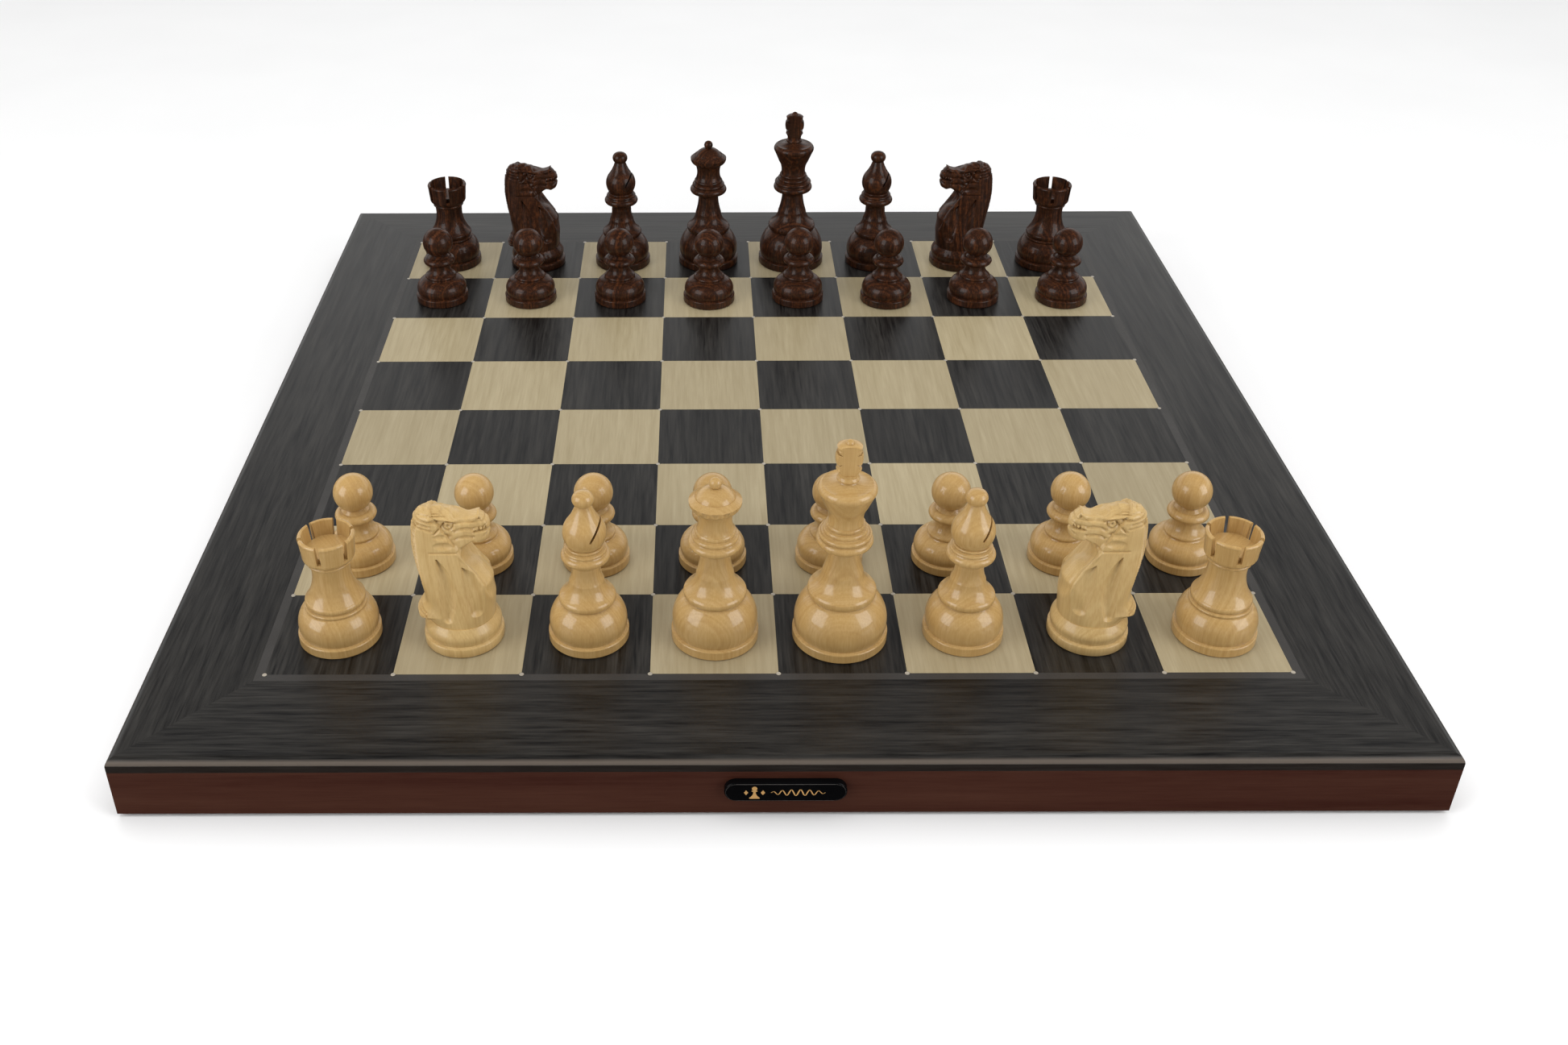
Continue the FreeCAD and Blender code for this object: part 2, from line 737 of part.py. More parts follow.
def build_field():
    tile = field_square()
    dark = []
    light = []
    for column, row, x, y in square_centres():
        shade = dark if (column + row) % 2 == 0 else light
        shade.append(at(tile, x, y))
    save("dark_squares", *dark)
    save("light_squares", *light)
    save("inlay_line", *inlay_line())
    lens_bottom = RAIL_TOP + LED_HEIGHT
    save("led_lenses", *[disc(LENS_R, lens_bottom, BOARD_TOP, x, y) for x, y in corner_places()])


def build_electronics():
    half = LED_SIZE / 2
    leds = [block((x - half, y - half, RAIL_TOP), (x + half, y + half, RAIL_TOP + LED_HEIGHT))
            for x, y in corner_places()]
    save("led_chips", *leds)
    save("sensor_board", block((-PCB_HALF, -PCB_HALF, RAIL_TOP - PCB_THICK), (PCB_HALF, PCB_HALF, RAIL_TOP)))
    coil = sensor_coil()
    save("sensor_coils", *[at(coil, x, y) for _, _, x, y in square_centres()])
    save("support_battens", *support_battens())
    half = MAIN_BOARD_WIDTH / 2
    save("main_board", block(
        (BAY_X - half, MAIN_BOARD_FRONT, MAIN_BOARD_BOTTOM),
        (BAY_X + half, MAIN_BOARD_BACK, MAIN_BOARD_TOP),
    ))
    save("board_chips", *board_chips())
    save("ribbon_cable", ribbon_cable())
    save("socket_panel", socket_panel())
    save("usb_socket", usb_socket())
    save("power_switch", power_switch())
    save("power_button", power_button())


def build_men():
    """Place both armies. Each man is one node: the wooden man, its weight and its tag."""
    makers = {"pawn": pawn, "rook": rook, "knight": knight, "bishop": bishop, "queen": queen, "king": king}
    men = {kind: hollowed(make()) for kind, make in makers.items()}
    order = ("rook", "knight", "bishop", "queen", "king", "bishop", "knight", "rook")
    single = ("queen", "king")
    for colour, home, advance in (("white", 0, 1), ("black", COUNT - 1, -1)):
        for column in range(COUNT):
            letter = "abcdefgh"[column]
            x = (column + 0.5) * SQUARE - FIELD_HALF
            kind = order[column]
            name = colour + "_" + kind
            if kind not in single:
                name += "_" + letter
            spin = ROOK_TURNS.get(name, 0)
            if kind == "knight" and letter == "g":
                spin = 180
            for row, man, called, angle in (
                (home, men[kind], name, spin),
                (home + advance, men["pawn"], colour + "_pawn_" + letter, 0),
            ):
                y = (row + 0.5) * SQUARE - FIELD_HALF
                stray_x, stray_y = STRAYS.get(called, (0, 0))
                place = (x + stray_x, y + stray_y, BOARD_TOP)
                save(called, *[at(turn(piece, angle), *place) for piece in [man] + insides()])


os.makedirs(PARTS, exist_ok=True)
build_case()
build_field()
build_electronics()
build_men()
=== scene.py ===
import bpy
import math
import numpy as np
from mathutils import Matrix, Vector


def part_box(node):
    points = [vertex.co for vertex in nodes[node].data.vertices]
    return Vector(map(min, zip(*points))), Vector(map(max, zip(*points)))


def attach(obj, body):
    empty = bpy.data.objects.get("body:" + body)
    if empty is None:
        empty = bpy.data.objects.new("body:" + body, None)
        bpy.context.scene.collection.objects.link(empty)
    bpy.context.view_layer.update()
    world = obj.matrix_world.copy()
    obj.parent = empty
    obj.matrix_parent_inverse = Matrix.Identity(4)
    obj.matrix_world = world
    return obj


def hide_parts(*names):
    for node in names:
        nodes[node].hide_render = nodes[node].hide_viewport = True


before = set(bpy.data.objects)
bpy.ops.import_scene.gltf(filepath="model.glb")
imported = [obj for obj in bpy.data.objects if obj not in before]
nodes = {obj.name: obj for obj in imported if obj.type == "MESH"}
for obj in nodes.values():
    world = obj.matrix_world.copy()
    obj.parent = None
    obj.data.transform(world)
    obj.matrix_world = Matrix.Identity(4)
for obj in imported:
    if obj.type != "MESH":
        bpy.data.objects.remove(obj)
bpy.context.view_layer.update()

# ---- sizes, in metres ----
MM = 0.001
SQUARE = 55 * MM
BOARD_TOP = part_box("dark_squares")[1][2]

# ---- camera, its place counted from the middle of the board's top ----
CAMERA_OFFSET = Vector((-0.0344, -0.7193, 0.4308))
CAMERA_TURN = (math.radians(58.537), math.radians(0.172), math.radians(-0.026))
SENSOR_WIDTH = 36.0
LENS = 34.93
SHIFT_X = 0.0563
SHIFT_Y = -0.0629


# ---------------------------------------------------------------- node helpers

class Nodes:
    """A material under construction: makes nodes and joins them in one call."""

    def __init__(self, name):
        self.material = bpy.data.materials.new(name)
        self.material.use_nodes = True
        self.tree = self.material.node_tree
        self.shader = self.tree.nodes["Principled BSDF"]

    def add(self, kind, inputs=None, **settings):
        node = self.tree.nodes.new(kind)
        for key, value in settings.items():
            setattr(node, key, value)
        for key, value in (inputs or {}).items():
            self.feed(node.inputs[key], value)
        return node

    def feed(self, socket, value):
        if isinstance(value, bpy.types.NodeSocket):
            self.tree.links.new(value, socket)
        elif isinstance(value, bpy.types.Node):
            self.tree.links.new(value.outputs[0], socket)
        else:
            socket.default_value = value

    def shade(self, **values):
        """Set the Principled shader's sockets; underscores stand for spaces."""
        for key, value in values.items():
            self.feed(self.shader.inputs[key.replace("_", " ")], value)

    def math(self, operation, first, second=0.0):
        return self.add("ShaderNodeMath", {0: first, 1: second}, operation=operation)

    def vector(self, operation, first, second=(0, 0, 0)):
        return self.add("ShaderNodeVectorMath", {0: first, 1: second}, operation=operation)

    def place(self):
        """Where a point is on the object, in metres."""
        return self.add("ShaderNodeTexCoord").outputs["Object"]

    def noise(self, vector, scale, detail=3.0, roughness=0.5, distortion=0.0):
        inputs = {"Vector": vector, "Scale": scale, "Detail": detail, "Roughness": roughness,
                  "Distortion": distortion}
        return self.add("ShaderNodeTexNoise", inputs).outputs["Fac"]

    def noise_line(self, distance, scale):
        """Noise that changes along one number only, such as a distance."""
        inputs = {"W": distance, "Scale": scale, "Detail": 2.0, "Roughness": 0.55}
        return self.add("ShaderNodeTexNoise", inputs, noise_dimensions="1D").outputs["Fac"]

    def times(self, colour, factor):
        """A colour made lighter or darker by one number."""
        triple = self.add("ShaderNodeCombineXYZ", {0: factor, 1: factor, 2: factor})
        return self.vector("MULTIPLY", colour, triple)

    def per_square(self, where):
        """A white noise node whose values stay the same within one square of the board."""
        cell = self.vector("FLOOR", self.vector("MULTIPLY", where, (1 / SQUARE, 1 / SQUARE, 0.0)))
        return self.add("ShaderNodeTexWhiteNoise", {"Vector": cell})

    def ramp(self, factor, *stops):
        """A colour ramp from (position, colour) stops."""
        node = self.add("ShaderNodeValToRGB", {"Fac": factor})
        band = node.color_ramp
        while len(band.elements) < len(stops):
            band.elements.new(0.5)
        for element, (position, colour) in zip(band.elements, stops):
            element.position = position
            element.color = (*colour, 1.0)
        return node.outputs["Color"]

    def grey(self, factor, low, high, start=0.0, end=1.0):
        """Map a factor's stretch from start to end onto low to high."""
        node = self.add("ShaderNodeMapRange", {"Value": factor, "From Min": start, "From Max": end,
                                               "To Min": low, "To Max": high})
        return node.outputs["Result"]

    def mix(self, factor, first, second):
        """A colour between two. The node's colour sockets are numbers 6 and 7, and its colour output is 2."""
        node = self.add("ShaderNodeMix", data_type="RGBA")
        self.feed(node.inputs[0], factor)
        self.feed(node.inputs[6], first)
        self.feed(node.inputs[7], second)
        return node.outputs[2]

    def bump(self, height, distance):
        """Raise the surface by a height from 0 to 1 times a distance in metres."""
        self.shade(Normal=self.add("ShaderNodeBump", {"Height": height, "Distance": distance,
                                                      "Strength": 1.0}))


def rgb(red, green, blue):
    """A colour given as it looks on a screen, from 0 to 255."""
    return tuple(((value / 255 + 0.055) / 1.055) ** 2.4 if value > 10 else value / 255 / 12.92
                 for value in (red, green, blue))


# ---------------------------------------------------------------- materials

def veneer(name, along, dark, light, streak, rough, tiles=False, painted_edge_light=False):
    """
    Open-grained veneer with streaks along X or Y. With tiles, each square of the board has its own tone and
    figure. On the border, a painted highlight runs along the rounded edge, over painted shade on the side
    below it.
    """
    m = Nodes(name)
    where = m.place()
    grain_place = where
    tile_tone = 1.0
    if tiles:
        random = m.per_square(where)
        offset = m.vector("MULTIPLY", random.outputs["Color"], (0.7, 0.7, 0.7))
        grain_place = m.vector("ADD", where, offset)
        tile_tone = m.grey(random.outputs["Value"], 0.90, 1.10)
    stretch = (0.05, 1.0, 1.0) if along == "X" else (1.0, 0.05, 1.0)
    grain_place = m.vector("MULTIPLY", grain_place, stretch)
    fine = m.noise(grain_place, 1100.0, 3.0, 0.6)
    medium = m.noise(grain_place, 400.0, 2.0, 0.5, 0.3)
    broad = m.noise(grain_place, 60.0, 2.0, 0.5)
    streaks = m.math("ADD", m.math("MULTIPLY", fine, 0.5), m.math("MULTIPLY", medium, 0.5))
    colour = m.ramp(streaks, (0.5 - streak, dark), (0.5 + streak, light))
    colour = m.mix(m.grey(broad, 0.0, 0.35, 0.35, 0.7), colour, (*dark, 1.0))
    colour = m.times(colour, tile_tone)
    if painted_edge_light:
        height = m.add("ShaderNodeSeparateXYZ", {0: where}).outputs["Z"]
        depth = m.grey(height, 0.0, 1.0, BOARD_TOP - PAINTED_EDGE_HEIGHT, BOARD_TOP)
        # Painted highlight along the border's rounded edge, and painted shade on the border's side below it.
        highlight_band = m.ramp(depth, (0.53, (0, 0, 0)), (0.60, (1, 1, 1)), (0.78, (1, 1, 1)), (0.92, (0, 0, 0)))
        shade_band = m.ramp(depth, (0.51, (1, 1, 1)), (0.55, (0, 0, 0)))
        colour = m.mix(m.math("MULTIPLY", highlight_band, 0.85), colour, (*PAINTED_EDGE_HIGHLIGHT, 1.0))
        colour = m.mix(m.math("MULTIPLY", shade_band, 0.6), colour, (*PAINTED_EDGE_SHADE, 1.0))
    m.shade(Base_Color=colour, Roughness=m.grey(fine, rough - 0.05, rough + 0.07, 0.3, 0.7),
            Specular_IOR_Level=0.42)
    m.bump(streaks, 0.00006)
    return m.material


def polished_wood(name, tones, layer, mottle, contrast, specular, coat):
    """
    Turned wood under lacquer, in three tones from dark to light. Its growth layers are shells round an
    upright axis beside each man, and mottle is the size of its cloudy patches.
    """
    m = Nodes(name)
    where = m.place()
    random = m.per_square(where)
    shift = m.vector("SUBTRACT", random.outputs["Color"], (0.5, 0.5, 0.5))
    shift = m.vector("MULTIPLY", shift, (0.16, 0.10, 1.0))
    bent = m.noise(m.vector("MULTIPLY", where, (1.0, 1.0, 0.4)), 30.0, 2.0, 0.5)
    off_axis = m.vector("MULTIPLY", m.vector("ADD", where, shift), (1.0, 1.0, 0.06))
    radius = m.add("ShaderNodeVectorMath", {0: off_axis}, operation="LENGTH").outputs["Value"]
    radius = m.math("ADD", radius, m.math("MULTIPLY", bent, 0.006))
    layers = m.noise_line(radius, 1.0 / layer)
    fibres = m.noise(m.vector("MULTIPLY", where, (1.0, 1.0, 0.05)), 1500.0, 2.0, 0.55)
    cloud = m.noise(m.vector("ADD", where, shift), 1.0 / mottle, 3.0, 0.6)
    figure = m.math("ADD", m.math("MULTIPLY", layers, 0.32), m.math("MULTIPLY", fibres, 0.36))
    figure = m.math("ADD", figure, m.math("MULTIPLY", cloud, 0.32))
    dark, middle, light = tones
    colour = m.ramp(figure, (0.5 - contrast, dark), (0.5, middle), (0.5 + contrast, light))
    colour = m.times(colour, m.grey(random.outputs["Value"], 0.93, 1.05))
    m.shade(Base_Color=colour, Roughness=m.grey(fibres, 0.34, 0.44, 0.3, 0.7),
            Specular_IOR_Level=specular, Coat_Weight=coat, Coat_Roughness=0.09, Coat_IOR=1.5)
    m.bump(fibres, 0.00001)
    return m.material


def side_wood(name, along):
    """Stained rail under a dull lacquer: low-contrast streaks."""
    m = Nodes(name)
    where = m.place()
    stretch = (0.04, 1.0, 1.0) if along == "X" else (1.0, 0.04, 1.0)
    grain = m.vector("MULTIPLY", where, stretch)
    fine = m.noise(grain, 1300.0, 3.0, 0.6)
    broad = m.noise(grain, 90.0, 2.0, 0.5, 0.2)
    figure = m.math("ADD", m.math("MULTIPLY", fine, 0.4), m.math("MULTIPLY", broad, 0.6))
    colour = m.ramp(figure, (0.3, RAIL_DARK), (0.7, RAIL_LIGHT))
    m.shade(Base_Color=colour, Roughness=m.grey(fine, 0.42, 0.52, 0.3, 0.7), Specular_IOR_Level=0.06)
    m.bump(fine, 0.00002)
    return m.material


def moulded(name, colour, rough, grain_size=0.0004, depth=0.00003, metallic=0.0, coat=0.0, specular=0.5):
    """Plastic, rubber or metal with a fine surface grain and slight unevenness."""
    m = Nodes(name)
    where = m.place()
    grain = m.noise(where, 1.0 / grain_size, 3.0, 0.6)
    cloud = m.noise(where, 60.0, 2.0, 0.5)
    tinted = m.times(colour, m.grey(cloud, 0.88, 1.1, 0.3, 0.7))
    m.shade(Base_Color=tinted, Roughness=m.grey(grain, rough - 0.05, rough + 0.07, 0.3, 0.7),
            Metallic=metallic, Coat_Weight=coat, Coat_Roughness=0.05, Specular_IOR_Level=specular)
    m.bump(grain, depth)
    return m.material


def felt_material():
    """Pressed wool: short tangled fibres with a soft sheen."""
    m = Nodes("green_felt")
    where = m.place()
    tangle = m.noise(where, 2600.0, 4.0, 0.7, 1.5)
    cloud = m.noise(where, 140.0, 2.0, 0.5)
    colour = m.ramp(tangle, (0.3, rgb(20, 52, 34)), (0.7, rgb(46, 92, 62)))
    m.shade(Base_Color=m.times(colour, m.grey(cloud, 0.85, 1.12)), Roughness=0.95, Sheen_Weight=0.4,
            Sheen_Roughness=0.5)
    m.bump(tangle, 0.0001)
    return m.material


def floor_material():
    """White paper with a barely uneven tone."""
    m = Nodes("floor_paper")
    tone = m.noise(m.place(), 8.0, 2.0, 0.5)
    m.shade(Base_Color=m.ramp(tone, (0.3, (0.90, 0.90, 0.90)), (0.7, (0.92, 0.92, 0.92))), Roughness=0.9,
            Specular_IOR_Level=0.1)
    return m.material


# How far down the border's edge the painted highlight and the painted shade reach, and their colours.
PAINTED_EDGE_HEIGHT = 6.4 * MM
PAINTED_EDGE_HIGHLIGHT = rgb(100, 90, 81)
PAINTED_EDGE_SHADE = rgb(36, 27, 22)
WENGE_DARK = rgb(12, 11, 11)
WENGE_LIGHT = rgb(51, 49, 46)
MAPLE_DARK = rgb(148, 134, 103)
MAPLE_LIGHT = rgb(174, 161, 131)
RAIL_DARK = rgb(54, 25, 18)
RAIL_LIGHT = rgb(72, 43, 32)
BOXWOOD = (rgb(168, 130, 76), rgb(183, 148, 92), rgb(196, 163, 110))
# Lighter boxwood tones for the white knights: painted light that brightens them, though their wood is the
# same as the other white men's.
BOXWOOD_BRIGHTENED = (rgb(182, 147, 91), rgb(198, 166, 110), rgb(210, 181, 128))
ROSEWOOD = (rgb(24, 13, 9), rgb(50, 28, 17), rgb(92, 52, 28))
BOXWOOD_FIGURE = {"layer": 1.2 * MM, "mottle": 18 * MM, "contrast": 0.22, "specular": 0.30}
ROSEWOOD_FIGURE = {"layer": 1.8 * MM, "mottle": 2 * MM, "contrast": 0.17, "specular": 0.12}


def dress_nodes():
    """Give every CAD node its material."""
    wenge_x = veneer("dark_veneer_x", "X", WENGE_DARK, WENGE_LIGHT, streak=0.16, rough=0.34, painted_edge_light=True)
    wenge_y = veneer("dark_veneer_y", "Y", WENGE_DARK, WENGE_LIGHT, streak=0.16, rough=0.34, painted_edge_light=True)
    wenge_tiles = veneer("dark_squares", "Y", WENGE_DARK, WENGE_LIGHT, streak=0.14, rough=0.36, tiles=True)
    maple_tiles = veneer("light_squares", "Y", MAPLE_DARK, MAPLE_LIGHT, streak=0.25, rough=0.42, tiles=True)
    rail_x = side_wood("side_wood_x", "X")
    rail_y = side_wood("side_wood_y", "Y")
    chip = moulded("chip_case", rgb(28, 28, 30), 0.5)
    board = moulded("solder_mask", rgb(20, 84, 52), 0.3, 0.001, 0.00001, coat=0.4)
    looks = {
        "border_front": wenge_x,
        "border_back": wenge_x,
        "border_left": wenge_y,
        "border_right": wenge_y,
        "rail_front": rail_x,
        "rail_back": rail_x,
        "rail_left": rail_y,
        "rail_right": rail_y,
        "dark_squares": wenge_tiles,
        "light_squares": maple_tiles,
        "inlay_line": moulded("line_wood", rgb(54, 52, 50), 0.45, 0.0006, 0.00001),
        "field_core": moulded("fibreboard", rgb(170, 140, 105), 0.8, 0.0008, 0.00005),
        "support_battens": moulded("softwood", rgb(205, 178, 135), 0.7, 0.0008, 0.00005),
        "bottom_cover": moulded("cover_plate", rgb(38, 38, 40), 0.6, 0.0007, 0.00006),
        "cover_screws": moulded("screw_steel", rgb(190, 190, 192), 0.3, 0.0005, 0.00001, metallic=1.0),
        "rubber_feet": moulded("foot_rubber", rgb(30, 30, 30), 0.85, 0.0005, 0.00005),
        "name_badge": moulded("badge_black", rgb(9, 9, 10), 0.14, 0.003, 0.000002, specular=0.08),
        "led_lenses": moulded("light_lens", rgb(164, 156, 142), 0.35, 0.0004, 0.00001, coat=0.3),
        "led_chips": moulded("light_chip", rgb(225, 215, 150), 0.3),
        "sensor_board": board,
        "main_board": board,
        "sensor_coils": moulded("copper_track", rgb(200, 125, 80), 0.3, 0.0006, 0.00001, metallic=1.0),
        "board_chips": chip,
        "power_switch": chip,
        "ribbon_cable": moulded("ribbon_film", rgb(215, 210, 195), 0.3, coat=0.3),
        "socket_panel": moulded("panel_plastic", rgb(30, 30, 31), 0.5),
        "usb_socket": moulded("socket_steel", rgb(200, 200, 202), 0.25, 0.0005, 0.00001, metallic=1.0),
        "power_button": moulded("button_plastic", rgb(52, 52, 55), 0.4),
    }
    for name, material in looks.items():
        set_material(nodes[name], material)
    for name, node in nodes.items():
        if name in MEN:
            set_material(node, MEN_WOOD[colour_of(name)])


def set_material(piece, material):
    piece.data.materials.clear()
    piece.data.materials.append(material)


# ---------------------------------------------------------------- meshes

def add_piece(name, points, faces, material, body, sharp=30.0):
    """A new piece from points in metres, smooth but for edges sharper than the given angle."""
    mesh = bpy.data.meshes.new(name)
    mesh.from_pydata([tuple(point) for point in points], [], faces)
    mesh.shade_smooth()
    mesh.set_sharp_from_angle(angle=math.radians(sharp))
    mesh.materials.append(material)
    piece = bpy.data.objects.new(name, mesh)
    bpy.context.collection.objects.link(piece)
    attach(piece, body)
    return piece


def lathe(profile, steps=96):
    """Points and faces of a solid turned about Z. The profile starts and ends on the axis."""
    angles = np.linspace(0, 2 * np.pi, steps, endpoint=False)
    points = [(0.0, 0.0, profile[0][1])]
    for radius, height in profile[1:-1]:
        points += [(radius * math.cos(angle), radius * math.sin(angle), height) for angle in angles]
    points.append((0.0, 0.0, profile[-1][1]))
    faces = []
    for step in range(steps):
        after = (step + 1) % steps
        faces.append((0, 1 + after, 1 + step))
        for ring in range(len(profile) - 3):
            low = 1 + ring * steps
            faces.append((low + step, low + after, low + steps + after, low + steps + step))
        low = 1 + (len(profile) - 3) * steps
        faces.append((low + step, low + after, len(points) - 1))
    return np.array(points), faces


def plate(outline, low, high):
    """Points and faces of a flat shape in the XZ plane, from depth low to depth high along Y."""
    count = len(outline)
    points = [(x, low, z) for x, z in outline] + [(x, high, z) for x, z in outline]
    faces = [tuple(range(count)), tuple(range(2 * count - 1, count - 1, -1))]
    for step in range(count):
        after = (step + 1) % count
        faces.append((step, step + count, after + count, after))
    return np.array(points), faces


def ring_tube(centres, radius, sides=8):
    """Points and faces of a closed round wire in an XZ plane."""
    centres = np.array(centres)
    ahead = np.roll(centres, -1, axis=0) - np.roll(centres, 1, axis=0)
    ahead /= np.linalg.norm(ahead, axis=1)[:, None]
    depth = np.array((0.0, 1.0, 0.0))
    outward = np.cross(ahead, depth)
    points = []
    for centre, out in zip(centres, outward):
        for side in range(sides):
            angle = 2 * math.pi * side / sides
            points.append(centre + radius * (math.cos(angle) * out + math.sin(angle) * depth))
    faces = []
    count = len(centres)
    for step in range(count):
        here, there = step * sides, (step + 1) % count * sides
        for side in range(sides):
            after = (side + 1) % sides
            faces.append((here + side, here + after, there + after, there + side))
    return np.array(points), faces


# ---------------------------------------------------------------- the men

MEN = [name for name in nodes if name.startswith(("white_", "black_"))]
FOOT_RADIUS = {"pawn": 15.9, "rook": 18.1, "knight": 17.5, "bishop": 17.7, "queen": 19.2, "king": 20.9}
FELT_INSET = 1.75
FELT_TOP = 0.9
FELT_GAP = 0.03
FELT_LOWER_EDGE = 0.25
FELT_UPPER_EDGE = 0.2


def colour_of(name):
    return name.split("_")[0]


def kind_of(name):
    return name.split("_")[1]


def centre_of(name):
    """The axis of a man's foot. The foot is the widest part of every man but a knight's mane."""
    low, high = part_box(name)
    foot = FOOT_RADIUS["knight"] * MM
    across = {"knight_b": high[0] - foot, "knight_g": low[0] + foot}
    x = across.get(name.split("_", 1)[1], (low[0] + high[0]) / 2)
    return np.array((x, (low[1] + high[1]) / 2, BOARD_TOP))


def add_felts():
    """The felt in the hollow under each man."""
    felt = felt_material()
    for name in MEN:
        radius = FOOT_RADIUS[kind_of(name)] - FELT_INSET
        profile = [
            (0, FELT_GAP),
            (radius - FELT_LOWER_EDGE, FELT_GAP),
            (radius, FELT_LOWER_EDGE),
            (radius, FELT_TOP - FELT_UPPER_EDGE),
            (radius - FELT_UPPER_EDGE, FELT_TOP),
            (0, FELT_TOP),
        ]
        points, faces = lathe(profile, steps=72)
        add_piece("felt_" + name, points * MM + centre_of(name), faces, felt, name)


def knight_stand():
    """The knight's turned foot, with the hollow for its felt."""
    neck = through([(16.2, 5.2), (16.7, 9.0), (14.6, 13.2)], np.linspace(0, 2, 14))
    shoulder = through([(17.5, 3.9), (17.3, 4.6), (16.7, 4.9)], np.linspace(0, 2, 6))
    return lathe([(0, 1.0), (15.9, 1.0), (15.9, 0.0), (16.9, 0.0), (17.5, 0.7), *shoulder, *neck, (0, 13.2)])


def add_knights():
    """One piece for each knight: the carved horse on its turned stand."""
    horse_points, horse_faces = horse()
    stand_points, stand_faces = knight_stand()
    points = np.vstack([horse_points, stand_points])
    faces = horse_faces + [tuple(index + len(horse_points) for index in face) for face in stand_faces]
    for name in MEN:
        if kind_of(name) != "knight":
            continue
        facing = -1.0 if name.endswith("_g") else 1.0
        placed = points * (facing * MM, facing * MM, MM) + centre_of(name)
        wood = KNIGHT_WOOD[colour_of(name)]
        piece = add_piece("carved_" + name, placed, faces, wood, name, 50.0)
        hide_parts(name)


# ---------------------------------------------------------------- the knights
# Carved in millimetres in the man's own frame: the nose points along +X, and z is the height over the felt.
# Both sides carry the same cuts. A cut's place is given on the side view, as (x, z).

KNIGHT_ROWS = 190
KNIGHT_COLUMNS = 110
MANE_PITCH = 1.35
CUT_DEPTH = 1.35

# The back and the front go up in step, so that each row of the mesh joins two points of the same number.
KNIGHT_BACK = [
    (-14.4, 12.0), (-18.2, 13.4), (-19.4, 16.2), (-17.8, 19.6), (-15.6, 23.2), (-15.8, 28.0), (-16.8, 33.5),
    (-17.8, 38.5), (-18.4, 42.5), (-18.8, 46.0), (-19.0, 49.0), (-19.0, 51.2), (-18.9, 53.4), (-18.8, 55.8),
    (-18.6, 58.4), (-18.1, 61.4), (-16.9, 65.0),
]
KNIGHT_FRONT = [
    (14.3, 12.0), (14.6, 15.0), (14.8, 18.0), (15.1, 21.5), (15.6, 25.5), (16.2, 30.0), (15.9, 33.4),
    (13.4, 37.0), (9.8, 41.2), (7.2, 45.2), (6.9, 46.8), (8.6, 48.4), (12.0, 49.9), (15.0, 51.7),
    (16.4, 54.8), (16.9, 58.8), (16.2, 62.9),
]
KNIGHT_TOP = [
    (-16.9, 65.0), (-14.6, 67.6), (-12.0, 68.8), (-9.2, 69.9), (-4.6, 70.1), (-3.0, 69.4), (1.1, 68.1),
    (3.7, 66.8), (6.5, 66.1), (9.1, 66.9), (10.8, 68.1), (13.6, 65.9), (16.2, 62.9),
]
# Half the horse's thickness in the middle of its side, by height, and how far its edges are rounded.
THICKNESS = [(12.0, 14.2), (16.0, 13.6), (24.0, 12.0), (34.0, 10.2), (44.0, 8.8), (50.0, 8.0), (58.0, 7.6),
             (64.0, 7.0), (70.0, 6.4)]
ROUNDING = [(12.0, 14.4), (18.0, 12.0), (26.0, 8.5), (36.0, 6.0), (46.0, 4.6), (70.0, 4.4)]


def through(points, places):
    """A smooth curve through points, read at places that count from 0 to the last point."""
    known = np.array(points, float)
    padded = np.vstack([2 * known[0] - known[1], known, 2 * known[-1] - known[-2]])
    start = np.clip(np.floor(places).astype(int), 0, len(known) - 2)
    part = (places - start)[:, None]
    before, here, there, after = (padded[start + step] for step in range(4))
    return 0.5 * (2 * here + (there - before) * part + (2 * before - 5 * here + 4 * there - after) * part ** 2
                  + (3 * here - before - 3 * there + after) * part ** 3)


def smooth(value, low, high):
    """0 below low, 1 above high, and an even slope between."""
    part = np.clip((value - low) / (high - low), 0, 1)
    return part * part * (3 - 2 * part)


def path_distance(where, path):
    """How far each place is from a path, on which side of it (left is positive), and how far along it."""
    knots = np.array(path, float)
    lengths = np.linalg.norm(np.diff(knots, axis=0), axis=1)
    walked = np.concatenate([[0], np.cumsum(lengths)])
    nearest = np.full(len(where), np.inf)
    side = np.ones(len(where))
    along = np.zeros(len(where))
    for index, length in enumerate(lengths):
        start, step = knots[index], (knots[index + 1] - knots[index]) / length
        reach = np.clip((where - start) @ step, 0, length)
        gap = where - start - reach[:, None] * step
        far = np.linalg.norm(gap, axis=1)
        closer = far < nearest
        nearest[closer] = far[closer]
        side[closer] = np.where(step[0] * gap[:, 1] - step[1] * gap[:, 0] >= 0, 1, -1)[closer]
        along[closer] = (walked[index] + reach)[closer] / walked[-1]
    return nearest, side, along


def groove(where, width, depth, *path):
    """A cut with round shoulders along a path."""
    return depth * np.exp(-(path_distance(where, path)[0] / width) ** 2)


def bowl(where, middle, size, tilt, depth):
    """An oval hollow with a crisp rim."""
    away = where - np.array(middle)
    cosine, sine = math.cos(math.radians(tilt)), math.sin(math.radians(tilt))
    across = (away[:, 0] * cosine + away[:, 1] * sine) / size[0]
    up = (away[:, 1] * cosine - away[:, 0] * sine) / size[1]
    return depth * np.clip(1 - across ** 2 - up ** 2, 0, 1)


def leaf(where, depth, *spine):
    """A long gouged hollow: its spine is given as (x, z, half width)."""
    spine = through(spine, np.linspace(0, len(spine) - 1, 24))
    far, _, along = path_distance(where, spine[:, :2])
    steps = np.linalg.norm(np.diff(spine[:, :2], axis=0), axis=1)
    marks = np.concatenate([[0], np.cumsum(steps)]) / steps.sum()
    width = np.interp(along, marks, spine[:, 2])
    return depth * np.clip(1 - (far / width) ** 2, 0, 1)


